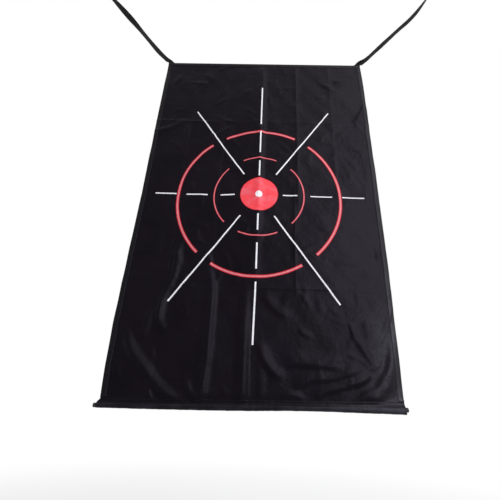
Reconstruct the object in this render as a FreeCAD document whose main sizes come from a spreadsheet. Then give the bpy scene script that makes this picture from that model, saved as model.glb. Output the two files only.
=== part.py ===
import FreeCAD, Part
import Sketcher
import math
import os

# Hanging chipping target: a printed cloth on two webbing straps, with a rod in its bottom sleeve.
#
# Frame: +Z up, +X to the right of a player who faces the print, and the print faces -Y.
# The origin is halfway between the eyes of the two strap loops, on the line that they hang from.

V = FreeCAD.Vector
doc = FreeCAD.newDocument("chipping_target")


# Driving dimensions, in millimetres and degrees
DIMENSIONS = (
    ("panel_width", 940),
    ("panel_drop", 1500),
    ("cloth_thickness", 1.0),
    ("sewn_clearance", 0.1),
    ("binding_width", 18),
    ("binding_thickness", 0.8),
    ("sleeve_room", 1.15),
    ("sleeve_wall", 0.8),
    ("sleeve_seam", 8),
    ("sleeve_left_overhang", 9),
    ("sleeve_right_overhang", 0.5),
    ("bottom_tilt", 1.6),
    ("rod_diameter", 9.5),
    ("rod_wall", 2),
    ("rod_extra", 11),
    ("rod_offset", -5.5),
    ("rod_clearance", 0.3),
    ("ferrule_length", 70),
    ("ferrule_wall", 0.9),
    ("ferrule_clearance", 0.1),
    ("cap_length", 22),
    ("cap_wall", 1.5),
    ("cap_end", 3),
    ("cap_rounding", 2),
    ("webbing_width", 30),
    ("webbing_thickness", 1.5),
    ("strap_length", 700),
    ("strap_angle", 52),
    ("strap_inset", 4),
    ("strap_gap", 0.3),
    ("tail_length", 45),
    ("tail_drop", 3),
    ("loop_radius", 13),
    ("loop_tab", 40),
    ("fold_margin", 4),
    ("flat_depth", 0.05),
)
sheet = doc.addObject("Spreadsheet::Sheet", "Dimensions")
for row, (alias, value) in enumerate(DIMENSIONS, start=1):
    sheet.set(f"A{row}", alias)
    sheet.set(f"B{row}", str(value))
    sheet.setAlias(f"B{row}", alias)
doc.recompute()


def D(expression):
    """Puts the sheet's name before each dimension in an expression."""
    for alias, value in sorted(DIMENSIONS, key=lambda pair: -len(pair[0])):
        expression = expression.replace(f"<{alias}>", f"Dimensions.{alias}")
    return expression


def size(expression):
    """The number that an expression of the sheet's dimensions has now."""
    value = sheet.evalExpression(D(expression))
    return float(getattr(value, "Value", value))


# Places that several pieces share, as expressions of the driving dimensions
HALF = "(<panel_width> / 2)"
FOLD_RADIUS = "(<cloth_thickness> / 2 + <sewn_clearance> + <binding_thickness>)"
SLOT_HALF = "(<cloth_thickness> / 2 + <sewn_clearance>)"
STRAP_SIN = "sin(<strap_angle> * 1deg)"
STRAP_COS = "cos(<strap_angle> * 1deg)"
STRAP_START_X = f"({HALF} - <strap_inset>)"
THROAT = "(sqrt(2) * <loop_radius>)"
REACH = f"(<strap_length> + <loop_tab> + {THROAT})"
TOP = f"(-{REACH} * {STRAP_SIN} - {FOLD_RADIUS} - <strap_gap>)"
EYE_X = f"({STRAP_START_X} + {REACH} * {STRAP_COS})"
TUBE_FIT = "(<rod_diameter> / 2 + <ferrule_clearance>)"
CAP_RADIUS = f"({TUBE_FIT} + <cap_wall>)"
SLEEVE_INNER = f"({CAP_RADIUS} + <sleeve_room>)"
SLEEVE_OUTER = f"({SLEEVE_INNER} + <sleeve_wall>)"
SLEEVE_Z = f"({TOP} - <panel_drop> + {SLEEVE_OUTER})"
SEAM_HALF = f"({SLOT_HALF} + <sleeve_wall>)"
SEAM_TOP = f"(sqrt(2) * {SLEEVE_OUTER} + <sleeve_seam>)"
CLOTH_BOTTOM = f"({SLEEVE_Z} + sqrt(2) * {SLEEVE_OUTER})"
ROD_DROP = f"({SLEEVE_INNER} - {CAP_RADIUS} - <rod_clearance>)"
TILT_SIN = "sin(<bottom_tilt> * 1deg)"
TILT_COS = "cos(<bottom_tilt> * 1deg)"
ROD_SECTIONS = 3
SECTION = f"((<panel_width> + <rod_extra>) / {ROD_SECTIONS})"
ROD_LEFT = f"(<rod_offset> - {SECTION} * {ROD_SECTIONS} / 2)"


def place(item, x="0", y="0", z="0"):
    """Binds where a sub-part stands."""
    item.setExpression("Placement.Base.x", D(x))
    item.setExpression("Placement.Base.y", D(y))
    item.setExpression("Placement.Base.z", D(z))


def place_on_bottom(item, along, up="0"):
    """Binds where a sub-part stands along the bottom edge, which rises a little to the right.

    Places are measured from the sleeve's middle, along its axis and square to it.
    """
    place(
        item, f"{along} * {TILT_COS} - {up} * {TILT_SIN}", "0",
        f"{SLEEVE_Z} + {along} * {TILT_SIN} + {up} * {TILT_COS}",
    )
    item.Placement.Rotation = FreeCAD.Rotation(V(0, 1, 0), -size("<bottom_tilt>"))
    item.setExpression("Placement.Rotation.Angle", D("<bottom_tilt>"))
    item.setExpression("Placement.Rotation.Axis.y", "-1")


def seam_height(*places):
    """How high the top of the sleeve's seam is at the higher of some places across the cloth."""
    rises = "; ".join(f"{place} * tan(<bottom_tilt> * 1deg)" for place in places)
    return f"({SLEEVE_Z} + {SEAM_TOP} / {TILT_COS} + max({rises}))"


def plane_of(body, role):
    """One of a body's own origin planes."""
    return next(feature for feature in body.Origin.OriginFeatures if feature.Role == role)


def new_body(label):
    body = doc.addObject("PartDesign::Body", label)
    body.Label = label
    return body


def new_sketch(body, name, role):
    sketch = body.newObject("Sketcher::SketchObject", name)
    sketch.AttachmentSupport = [(plane_of(body, role), "")]
    sketch.MapMode = "FlatFace"
    return sketch


def bind_point(sketch, edge, end, x, y):
    """Ties one end of an edge to two expressions, each "0" by lying on an axis."""
    for expression, kind, axis in ((x, "DistanceX", -2), (y, "DistanceY", -1)):
        if expression == "0":
            sketch.addConstraint(Sketcher.Constraint("PointOnObject", edge, end, axis))
            continue
        number = sketch.addConstraint(Sketcher.Constraint(kind, -1, 1, edge, end, size(expression)))
        sketch.setExpression(f"Constraints[{number}]", D(expression))


def draw_outline(sketch, corners, arcs=()):
    """A closed outline through corners, each an expression pair.

    A stretch whose number is in arcs is an arc about the origin, under a half circle.
    """
    places = [V(size(x), size(y), 0) for x, y in corners]
    count = len(corners)
    starts = []
    ends = []
    for number in range(count):
        begin = places[number]
        finish = places[(number + 1) % count]
        if number not in arcs:
            sketch.addGeometry(Part.LineSegment(begin, finish), False)
            starts.append(1)
            ends.append(2)
            continue
        circle = Part.Circle(V(0, 0, 0), V(0, 0, 1), begin.Length)
        forward = begin.cross(finish).z > 0
        first = begin if forward else finish
        last = finish if forward else begin
        turn = (math.atan2(first.y, first.x), math.atan2(last.y, last.x))
        sketch.addGeometry(Part.ArcOfCircle(circle, *turn), False)
        starts.append(1 if forward else 2)
        ends.append(2 if forward else 1)
    for number in range(count):
        following = (number + 1) % count
        sketch.addConstraint(
            Sketcher.Constraint("Coincident", number, ends[number], following, starts[following])
        )
        if number in arcs:
            sketch.addConstraint(Sketcher.Constraint("PointOnObject", number, 3, -2))
    for number, (x, y) in enumerate(corners):
        bind_point(sketch, number, starts[number], x, y)


def draw_circle(sketch, radius):
    number = sketch.addGeometry(Part.Circle(V(0, 0, 0), V(0, 0, 1), size(radius)), False)
    sketch.addConstraint(Sketcher.Constraint("Coincident", number, 3, -1, 1))
    constraint = sketch.addConstraint(Sketcher.Constraint("Radius", number, size(radius)))
    sketch.setExpression(f"Constraints[{constraint}]", D(radius))


def pad(body, sketch, length, midplane=False):
    feature = body.newObject("PartDesign::Pad", f"{body.Label}_pad")
    feature.Profile = sketch
    feature.Midplane = midplane
    feature.setExpression("Length", D(length))
    sketch.Visibility = False


# The hanging cloth and its main folds

# Each fold: half of its width, then (height, place, depth) down its length. Widths and places are
# shares of the cloth's half width, and places start from its middle. Heights, above the flat strip
# that is sewn into the sleeve, and depths are in millimetres, and a ridge's depth is negative.
FOLDS = {
    "corner_fold": (0.055, ((0, -0.53, 0), (25, -0.575, -6), (80, -0.70, -8), (170, -0.85, -5),
                            (290, -0.87, 0))),
    "left_fold": (0.038, ((0, -0.425, 0), (80, -0.57, 0), (150, -0.635, 0), (222, -0.64, -6),
                          (392, -0.59, -8), (509, -0.605, -5), (640, -0.61, 0))),
    "inner_fold": (0.047, ((0, -0.295, 0), (40, -0.295, -6), (180, -0.305, -8), (386, -0.315, -6),
                           (520, -0.32, 0))),
    "hollow": (0.042, ((0, -0.10, 0), (40, -0.10, 6), (152, -0.10, 8), (300, -0.11, 5), (420, -0.11, 0))),
    "centre_ridge": (0.034, ((0, -0.018, 0), (40, -0.018, -5), (154, -0.02, -6), (250, -0.02, 0))),
    "right_swag": (0.055, ((0, 0.50, 0), (20, 0.58, 5), (80, 0.81, 8), (150, 0.88, 5), (260, 0.89, 0))),
}
SECTION_HEIGHTS = (0, 20, 45, 80, 115, 150, 190, 230, 270, 320, 370, 420, 480, 540, 590, 640)


def along_fold(keys, height):
    """Where a fold's middle lies at a height, and how deep it is there, eased from key to key."""
    for (low, *before), (high, *after) in zip(keys, keys[1:]):
        if low <= height <= high:
            share = (height - low) / (high - low)
            eased = share * share * (3 - 2 * share)
            return [first + (last - first) * eased for first, last in zip(before, after)]
    return keys[-1][1:]


def arc_between(begin, finish, centre):
    """An arc under a half circle, from its ends and its centre."""
    radius = (begin - centre).Length
    halfway = (begin + finish) * 0.5 - centre
    return Part.Arc(begin, centre + halfway * (radius / halfway.Length), finish).toShape()


def fold_curve(middle, half_width, depth, offset, height):
    """The three tangent arcs of one fold, on the face that lies offset behind the cloth's middle."""
    side = 1 if depth > 0 else -1
    rise = abs(depth)
    quarter = half_width / 2
    radius = (quarter * quarter + rise * rise / 4) / rise
    lean = math.asin(quarter / radius)
    outer = radius - side * offset
    crest = radius + side * offset

    def lies(x, y):
        return V(middle + x, side * y, height)

    turn_x = half_width - outer * math.sin(lean)
    turn_y = radius - outer * math.cos(lean)
    assert abs(turn_x - crest * math.sin(lean)) < 1e-6
    start = lies(-half_width, radius - outer)
    left_turn = lies(-turn_x, turn_y)
    right_turn = lies(turn_x, turn_y)
    finish = lies(half_width, radius - outer)
    arcs = [
        arc_between(start, left_turn, lies(-half_width, radius)),
        arc_between(left_turn, right_turn, lies(0, rise - radius)),
        arc_between(right_turn, finish, lies(half_width, radius)),
    ]
    return start, arcs, finish


def cloth_line(folds, half, offset, height):
    """One face's line at one height, from the left side to the right."""
    edges = []
    before = V(-half, offset, height)
    for middle, half_width, depth in folds:
        start, arcs, finish = fold_curve(middle, half_width, depth, offset, height)
        edges.append(Part.LineSegment(before, start).toShape())
        edges.extend(arcs)
        before = finish
    edges.append(Part.LineSegment(before, V(half, offset, height)).toShape())
    return edges


def cloth_section(height, fold_height, half, thickness):
    """The cloth's outline at one height, with every fold at least flat_depth deep.

    It is as far out of level as the bottom edge at fold height 0, and level at the last one.
    """
    least = size("<flat_depth>")
    folds = []
    for width_share, keys in FOLDS.values():
        place_share, depth = along_fold(keys, fold_height)
        if abs(depth) < least:
            depth = least if max(key[2] for key in keys) > 0 else -least
        folds.append((place_share * half, width_share * half, depth))
    front = cloth_line(folds, half, -thickness / 2, height)
    back = cloth_line(folds, half, thickness / 2, height)
    right = Part.LineSegment(V(half, -thickness / 2, height), V(half, thickness / 2, height)).toShape()
    left = Part.LineSegment(V(-half, thickness / 2, height), V(-half, -thickness / 2, height)).toShape()
    outline = Part.Wire(front + [right] + back[::-1] + [left])
    level_share = fold_height / SECTION_HEIGHTS[-1]
    outline.rotate(V(0, 0, height), V(0, 1, 0), -size("<bottom_tilt>") * (1 - level_share))
    return outline


def make_target_panel():
    """The cloth, from its bottom edge inside the sleeve's seam up to the top edge at z = 0."""
    half = size(HALF)
    thickness = size("<cloth_thickness>")
    bottom = size(f"{CLOTH_BOTTOM} - {TOP}")
    strip_top = bottom + size("<sleeve_seam> + <fold_margin>")
    heights = [(bottom, 0)]
    heights += [(strip_top + height, height) for height in SECTION_HEIGHTS]
    heights.append((0, SECTION_HEIGHTS[-1]))
    sections = [cloth_section(*pair, half, thickness) for pair in heights]
    panel = doc.addObject("Part::Feature", "target_panel")
    panel.Label = "target_panel"
    panel.Shape = Part.makeLoft(sections, True, True)
    place(panel, z=TOP)
    return panel


# The tapes that are folded round the cloth's edges

def make_binding(label, length, box_size, box_place, slot_size, slot_place, fold_place, fold_turn):
    """A folded tape: a box with a half-round fold along its outer edge and the cloth's slot in it."""
    tape = doc.addObject("Part::Box", f"{label}_tape")
    slot = doc.addObject("Part::Box", f"{label}_slot")
    for item, sizes, places in ((tape, box_size, box_place), (slot, slot_size, slot_place)):
        for name, expression in zip(("Length", "Width", "Height"), sizes):
            item.setExpression(name, D(expression))
        place(item, *places)
    fold = doc.addObject("Part::Cylinder", f"{label}_fold")
    fold.setExpression("Radius", D(FOLD_RADIUS))
    fold.setExpression("Height", D(length))
    fold.Placement.Rotation = fold_turn
    place(fold, *fold_place)
    whole = doc.addObject("Part::Fuse", f"{label}_whole")
    whole.Base = tape
    whole.Tool = fold
    whole.Refine = True
    binding = doc.addObject("Part::Cut", label)
    binding.Base = whole
    binding.Tool = slot
    binding.Label = label
    return binding


def make_bindings():
    """The top tape runs the whole width, and the side tapes hang between it and the sleeve."""
    thick = f"(2 * {FOLD_RADIUS})"
    slot = f"(2 * {SLOT_HALF})"
    side_top = f"({TOP} - <binding_width>)"
    made = [make_binding(
        "top_binding", "<panel_width>",
        ("<panel_width>", thick, "<binding_width>"), (f"-{HALF}", f"-{FOLD_RADIUS}", side_top),
        ("<panel_width>", slot, "<binding_width>"), (f"-{HALF}", f"-{SLOT_HALF}", side_top),
        (f"-{HALF}", "0", TOP), FreeCAD.Rotation(V(0, 1, 0), 90),
    )]
    for label, side in (("left_binding", -1), ("right_binding", 1)):
        edge = f"({side} * {HALF})"
        inner = f"-{HALF}" if side < 0 else f"({HALF} - <binding_width>)"
        side_bottom = seam_height(
            f"({side} * ({HALF} - <binding_width>))", f"({side} * ({HALF} + {FOLD_RADIUS}))"
        )
        side_length = f"({side_top} - {side_bottom})"
        made.append(make_binding(
            label, side_length,
            ("<binding_width>", thick, side_length), (inner, f"-{FOLD_RADIUS}", side_bottom),
            ("<binding_width>", slot, side_length), (inner, f"-{SLOT_HALF}", side_bottom),
            (edge, "0", side_bottom), FreeCAD.Rotation(),
        ))
    return made


# The sleeve along the bottom edge

def make_rod_sleeve():
    """One strip of cloth folded round the rod, its two ends sewn to the front and back of the panel."""
    body = new_body("rod_sleeve")
    sketch = new_sketch(body, "rod_sleeve_outline", "YZ_Plane")
    outer = f"({SLEEVE_OUTER} / sqrt(2))"
    inner = f"({SLEEVE_INNER} / sqrt(2))"
    outer_turn = f"(sqrt(2) * {SLEEVE_OUTER} - {SEAM_HALF})"
    inner_turn = f"(sqrt(2) * {SLEEVE_INNER} - {SLOT_HALF})"
    draw_outline(sketch, [
        (f"-{SEAM_HALF}", SEAM_TOP),
        (f"-{SEAM_HALF}", outer_turn),
        (f"-{outer}", outer),
        ("0", f"-{SLEEVE_OUTER}"),
        (outer, outer),
        (SEAM_HALF, outer_turn),
        (SEAM_HALF, SEAM_TOP),
        (SLOT_HALF, SEAM_TOP),
        (SLOT_HALF, inner_turn),
        (inner, inner),
        ("0", f"-{SLEEVE_INNER}"),
        (f"-{inner}", inner),
        (f"-{SLOT_HALF}", inner_turn),
        (f"-{SLOT_HALF}", SEAM_TOP),
    ], arcs=(2, 3, 9, 10))
    pad(body, sketch, "<panel_width> + <sleeve_left_overhang> + <sleeve_right_overhang>")
    place_on_bottom(body, f"(-{HALF} - <sleeve_left_overhang>)")
    return body


# The rod: three tubes, two ferrules and two end caps

def make_tube(label, outer_radius, inner_radius, length, x):
    body = new_body(label)
    sketch = new_sketch(body, f"{label}_outline", "YZ_Plane")
    draw_circle(sketch, outer_radius)
    draw_circle(sketch, inner_radius)
    pad(body, sketch, length)
    place_on_bottom(body, f"({x})", f"(-{ROD_DROP})")
    return body


def make_rod_sections():
    made = []
    for number, label in enumerate(("rod_section_left", "rod_section_middle", "rod_section_right")):
        made.append(make_tube(
            label, "<rod_diameter> / 2", "<rod_diameter> / 2 - <rod_wall>", SECTION,
            f"{ROD_LEFT} + {number} * {SECTION}",
        ))
    return made


def make_ferrules():
    """A metal sleeve over each pair of tube ends, fixed on one and a sliding fit on the other."""
    made = []
    for number, label in ((1, "ferrule_left"), (2, "ferrule_right")):
        made.append(make_tube(
            label, f"{TUBE_FIT} + <ferrule_wall>", TUBE_FIT, "<ferrule_length>",
            f"{ROD_LEFT} + {number} * {SECTION} - <ferrule_length> / 2",
        ))
    return made


def make_end_cap(label, side):
    """A cup that is pushed over the rod's end, with a rounded closed end."""
    body = new_body(label)
    sketch = new_sketch(body, f"{label}_outline", "XY_Plane")
    out = "" if side > 0 else "-"
    back = "-" if side > 0 else ""
    mouth = f"{back}(<cap_length> - <cap_end>)"
    draw_outline(sketch, [
        ("0", "0"),
        (f"{out}<cap_end>", "0"),
        (f"{out}<cap_end>", CAP_RADIUS),
        (mouth, CAP_RADIUS),
        (mouth, TUBE_FIT),
        ("0", TUBE_FIT),
    ])
    turned = body.newObject("PartDesign::Revolution", f"{label}_turned")
    turned.Profile = sketch
    turned.ReferenceAxis = (sketch, ["H_Axis"])
    turned.Angle = 360
    doc.recompute()
    tip_x = side * size("<cap_end>")
    rims = [
        f"Edge{number}" for number, edge in enumerate(turned.Shape.Edges, start=1)
        if edge.BoundBox.XLength < 1e-6 and abs(edge.BoundBox.XMin - tip_x) < 1e-6 and edge.isClosed()
    ]
    rounding = body.newObject("PartDesign::Fillet", f"{label}_rounding")
    rounding.Base = (turned, rims)
    rounding.setExpression("Radius", D("min(<cap_rounding>; <cap_end> * 0.9)"))
    end_x = ROD_LEFT if side < 0 else f"({ROD_LEFT} + {ROD_SECTIONS} * {SECTION})"
    place_on_bottom(body, end_x, f"(-{ROD_DROP})")
    return body


# The straps

# Distance along the strap as a share of its length, and how far the webbing has turned there.
TWISTS = {
    "left": ((0.07, 30), (0.17, 29), (0.27, 34), (0.34, 36), (0.42, 32), (0.51, 22), (0.60, 5),
             (0.69, -18), (0.78, -42), (0.88, -68), (1.0, -90)),
    "right": ((0.045, 45), (0.09, 86), (0.20, 90), (0.29, 85), (0.40, 89), (0.50, 91), (0.62, 85),
              (0.70, 81), (0.85, 87), (1.0, 90)),
}


def strap_section(middle, wide, thick, width, thickness):
    """A rectangle of webbing across the strap, from its two unit directions."""
    corners = [
        middle + wide * (width / 2 * a) + thick * (thickness / 2 * b)
        for a, b in ((-1, -1), (1, -1), (1, 1), (-1, 1))
    ]
    return Part.makePolygon(corners + corners[:1])


def make_strap(side_name, side):
    """Taut webbing that is sewn flat to the top edge, then turns on its way to the loop."""
    width = size("<webbing_width>")
    thickness = size("<webbing_thickness>")
    length = size("<strap_length>")
    along = V(side * size(STRAP_COS), 0, size(STRAP_SIN))
    across = V(side * along.z, 0, -side * along.x)
    foot = V(side * (size("<strap_inset>") - width / 2), 0, 0)
    sections = [strap_section(foot, V(1, 0, 0), V(0, 1, 0), width, thickness)]
    for share, turned in TWISTS[side_name]:
        turn = math.radians(turned) * side
        wide = across * math.cos(turn) + V(0, math.sin(turn), 0)
        thick = along.cross(wide) * -1
        sections.append(strap_section(along * (length * share), wide * side, thick * side, width, thickness))
    strap = doc.addObject("Part::Feature", f"{side_name}_strap")
    strap.Label = f"{side_name}_strap"
    strap.Shape = Part.makeLoft(sections, True, True)
    place(strap, f"{side} * {STRAP_START_X}", "0", f"{TOP} + {FOLD_RADIUS} + <strap_gap>")
    share_of_box = strap.Shape.Volume / (width * thickness * length)
    print(f"{strap.Label}: {length:.0f} mm, volume {share_of_box:.3f} of section times length")
    return strap


def make_strap_loop(label, side):
    """The strap's end, turned back round an eye and sewn to itself along the tab."""
    body = new_body(label)
    sketch = new_sketch(body, f"{label}_outline", "XZ_Plane")
    outer_radius = "(<loop_radius> + <webbing_thickness>)"
    outer = f"({outer_radius} / sqrt(2))"
    outer_turn = f"(sqrt(2) * {outer_radius} - <webbing_thickness>)"
    tab_end = f"({THROAT} + <loop_tab>)"
    draw_outline(sketch, [
        ("-<webbing_thickness>", tab_end),
        ("-<webbing_thickness>", outer_turn),
        (f"-{outer}", outer),
        ("0", f"-{outer_radius}"),
        (outer, outer),
        ("<webbing_thickness>", outer_turn),
        ("<webbing_thickness>", tab_end),
    ], arcs=(2, 3))
    pad(body, sketch, "<webbing_width>", midplane=True)
    eye = new_sketch(body, f"{label}_eye_outline", "XZ_Plane")
    inner = "(<loop_radius> / sqrt(2))"
    draw_outline(eye, [
        ("0", THROAT),
        (f"-{inner}", inner),
        ("0", "-<loop_radius>"),
        (inner, inner),
    ], arcs=(1, 2))
    doc.recompute()
    whole = body.Shape.Volume
    pocket = body.newObject("PartDesign::Pocket", f"{label}_eye")
    pocket.Profile = eye
    pocket.Type = 1
    pocket.Midplane = True
    doc.recompute()
    assert body.Shape.Volume < whole
    body.Placement.Rotation = FreeCAD.Rotation(V(0, 1, 0), side * 90)
    body.setExpression("Placement.Rotation.Axis.y", "1")
    body.setExpression("Placement.Rotation.Angle", D(f"{side} * (270 - <strap_angle>)"))
    place(body, f"{side} * {EYE_X}")
    return body


def make_strap_tail(label, side):
    """The strap's sewn end, flat on the back of the corner."""
    tail = doc.addObject("Part::Box", label)
    tail.Label = label
    tail.setExpression("Length", D("<webbing_width>"))
    tail.setExpression("Width", D("<webbing_thickness>"))
    tail.setExpression("Height", D("<tail_length>"))
    inner = f"-{HALF}" if side < 0 else f"({HALF} - <webbing_width>)"
    place(tail, inner, FOLD_RADIUS, f"{TOP} - <tail_drop> - <tail_length>")
    return tail


def check_and_write(sub_parts):
    """Stops at a failed object or solid, then writes each sub-part under its own name."""
    doc.recompute()
    for item in doc.Objects:
        if "Invalid" in item.State or "Error" in item.State:
            raise SystemExit(f"{item.Name} failed: {item.State}")
    for item in sub_parts:
        shape = item.Shape
        if shape.isNull() or not shape.isValid() or not shape.Solids:
            raise SystemExit(f"{item.Label} has no valid solid")
    os.makedirs("parts", exist_ok=True)
    for item in sub_parts:
        item.Shape.exportStep(f"parts/{item.Label}.step")
        print(f"{item.Label}: {item.Shape.Volume:.1f} mm3")


sub_parts = [make_target_panel()]
sub_parts += make_bindings()
sub_parts.append(make_rod_sleeve())
sub_parts += make_rod_sections()
sub_parts += make_ferrules()
sub_parts.append(make_end_cap("end_cap_left", -1))
sub_parts.append(make_end_cap("end_cap_right", 1))
for side_name, side in (("left", -1), ("right", 1)):
    sub_parts.append(make_strap(side_name, side))
    sub_parts.append(make_strap_loop(f"{side_name}_strap_loop", side))
    sub_parts.append(make_strap_tail(f"{side_name}_strap_tail", side))
check_and_write(sub_parts)
PLACES = {"top edge z": TOP, "loop eye x": EYE_X, "sleeve axis z": SLEEVE_Z, "rod drop": ROD_DROP}
for name, expression in PLACES.items():
    print(f"{name}: {size(expression):.3f} mm")
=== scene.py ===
from math import cos, pi, radians, sin, sqrt, tan

import bpy
import numpy as np
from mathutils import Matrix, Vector


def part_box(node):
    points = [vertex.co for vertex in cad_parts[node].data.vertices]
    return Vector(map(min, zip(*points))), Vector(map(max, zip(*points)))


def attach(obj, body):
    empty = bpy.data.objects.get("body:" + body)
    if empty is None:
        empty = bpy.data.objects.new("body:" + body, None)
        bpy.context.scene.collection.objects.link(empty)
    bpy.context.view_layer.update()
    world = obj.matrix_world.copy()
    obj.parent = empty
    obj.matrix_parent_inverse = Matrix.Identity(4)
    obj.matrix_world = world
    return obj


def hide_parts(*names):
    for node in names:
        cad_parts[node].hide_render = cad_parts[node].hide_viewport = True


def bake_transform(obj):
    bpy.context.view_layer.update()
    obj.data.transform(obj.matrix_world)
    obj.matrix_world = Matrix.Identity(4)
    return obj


# The looks of the hanging chipping target: printed cloth, edge tapes, rod sleeve, webbing and rod.
# Metres, apart from the folds and creases, which are in millimetres across and up from the cloth's
# middle. The print faces -Y.

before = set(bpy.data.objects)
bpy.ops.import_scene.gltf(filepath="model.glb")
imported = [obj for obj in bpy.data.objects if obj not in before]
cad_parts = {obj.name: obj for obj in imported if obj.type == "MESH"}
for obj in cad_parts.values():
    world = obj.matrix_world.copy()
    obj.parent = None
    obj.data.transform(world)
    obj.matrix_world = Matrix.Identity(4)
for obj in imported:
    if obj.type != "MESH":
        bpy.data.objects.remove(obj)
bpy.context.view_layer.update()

MM = 0.001
TURN = 2 * pi
SIDES = (("left", -1), ("right", 1))
FACES = (("front", -1), ("back", 1))

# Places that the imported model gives

TAPE_LOW, TAPE_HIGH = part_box("top_binding")
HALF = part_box("target_panel")[1].x
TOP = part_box("target_panel")[1].z
TAPE_DEPTH = TAPE_HIGH.y
TAPE_WIDTH = TAPE_HIGH.z - TAPE_DEPTH - TAPE_LOW.z
PANEL_DROP = 1.5
MIDDLE_Z = TOP - PANEL_DROP / 2

# The sleeve's middle line rises to the right by the tilt, and spans from its left to its right end

BOTTOM_TILT = radians(1.6)
SLEEVE_RADIUS = 0.0083
SLEEVE_Z = TOP - PANEL_DROP + SLEEVE_RADIUS
SLEEVE_SPAN = (-0.474, 0.465)
SLEEVE_WALL = 0.0005
SLEEVE_SPACING = 0.0042
SEAM_GAP = 0.00045
CLOTH_BOTTOM = SLEEVE_Z + sqrt(2) * SLEEVE_RADIUS
SEAM_TOP = CLOTH_BOTTOM + 0.008
SLEEVE_UP = (SLEEVE_Z - MIDDLE_Z) / MM
SEAM_UP = (SEAM_TOP - MIDDLE_Z) / MM

# Cloth, tape and webbing

CLOTH_THICKNESS = 0.0007
CLOTH_SPACING = 0.0064
TAPE_WALL = 0.0008
TAPE_SPACING = 0.0046
WEBBING_WIDTH = 0.030
WEBBING_THICKNESS = 0.0015
WEBBING_RIBS = 12
RIB_DEPTH = 0.00018
STRAP_LENGTH = 0.700
STRAP_ANGLE = radians(52)
STRAP_START_X = 0.466
STRAP_START_Z = TOP + 0.0017
STRAP_FOOT_X = 0.455
STRAP_SPACING = 0.0045
LOOP_RADIUS = 0.013
LOOP_TAB = 0.040
LOOP_SPACING = 0.0015
EYE_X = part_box("right_strap_loop")[1].x - LOOP_RADIUS - WEBBING_THICKNESS

# Camera

camera_data = bpy.data.cameras.new("camera")
camera_data.lens = 25.2
camera_data.sensor_width = 36
camera_data.shift_y = -0.06
camera = bpy.data.objects.new("camera", camera_data)
camera.location = (0.016, -1.204, MIDDLE_Z - 0.706)
camera.rotation_euler = [radians(turn) for turn in (116.437, -2.412, 0.989)]
bpy.context.scene.collection.objects.link(camera)
bpy.context.scene.camera = camera


# Lines and values along them

def unit(vectors):
    return vectors / np.linalg.norm(vectors, axis=-1, keepdims=True)


def polyline_lengths(points):
    steps = np.linalg.norm(np.diff(points, axis=0), axis=1)
    return np.concatenate([[0.0], np.cumsum(steps)])


def arc(radius, first, last, steps):
    """Points on a circle round the origin, between two angles in degrees."""
    angles = np.radians(np.linspace(first, last, steps + 1))
    return radius * np.stack([np.cos(angles), np.sin(angles)], axis=1)


def straight(begin, finish):
    """A line's begin, its direction and its length."""
    begin = np.array(begin, float)
    way = np.array(finish, float) - begin
    length = np.linalg.norm(way)
    return begin, way / length, length


def route(points):
    """The points of a NURBS curve of these control points, as Blender gives them."""
    curve = bpy.data.curves.new("route", "CURVE")
    curve.dimensions = "3D"
    curve.resolution_u = 24
    spline = curve.splines.new("NURBS")
    spline.points.add(len(points) - 1)
    for place, point in zip(spline.points, points):
        place.co = (*point, 1)
    spline.order_u = 3
    spline.use_endpoint_u = True
    holder = bpy.data.objects.new("route", curve)
    mesh = bpy.data.meshes.new_from_object(holder)
    found = np.array([tuple(vertex.co) for vertex in mesh.vertices])
    bpy.data.objects.remove(holder)
    bpy.data.curves.remove(curve)
    bpy.data.meshes.remove(mesh)
    return found


def resample(path, spacing):
    """The same line with evenly spaced points."""
    lengths = polyline_lengths(path)
    count = max(2, int(round(lengths[-1] / spacing)) + 1)
    places = np.linspace(0, lengths[-1], count)
    return np.stack([np.interp(places, lengths, path[:, axis]) for axis in range(3)], axis=1)


def smoothed(values, rounds):
    """Values with their corners eased, the ends kept."""
    values = np.array(values, float)
    for _ in range(rounds):
        values[1:-1] = (values[:-2] + 2 * values[1:-1] + values[2:]) / 4
    return values


def step_between(low, high, values):
    share = np.clip((values - low) / (high - low), 0, 1)
    return share * share * (3 - 2 * share)


def wave(places, length, shift=0.0):
    return np.sin(TURN * places / length + shift)


# Meshes

def new_piece(name, vertices, faces, body):
    """A smooth mesh object that rides on a body, or on none where body is None."""
    mesh = bpy.data.meshes.new(name)
    mesh.from_pydata([tuple(v) for v in vertices], [], [tuple(int(i) for i in face) for face in faces])
    mesh.polygons.foreach_set("use_smooth", [True] * len(mesh.polygons))
    mesh.update()
    piece = bpy.data.objects.new(name, mesh)
    bpy.context.scene.collection.objects.link(piece)
    if body:
        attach(piece, body)
    return piece


def set_map(piece, name, corner_places):
    """Writes a UV map from one place for each face corner."""
    layer = piece.data.uv_layers.new(name=name)
    layer.data.foreach_set("uv", np.asarray(corner_places, float).ravel())


def tube_faces(rings, around, closed_ends=True):
    """Faces of a closed outline that is repeated ring after ring."""
    faces = []
    for ring in range(rings - 1):
        low = ring * around
        high = low + around
        for step in range(around):
            after = (step + 1) % around
            faces.append((low + step, low + after, high + after, high + step))
    if closed_ends:
        faces.append(tuple(range(around))[::-1])
        faces.append(tuple(range((rings - 1) * around, rings * around)))
    return faces


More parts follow.
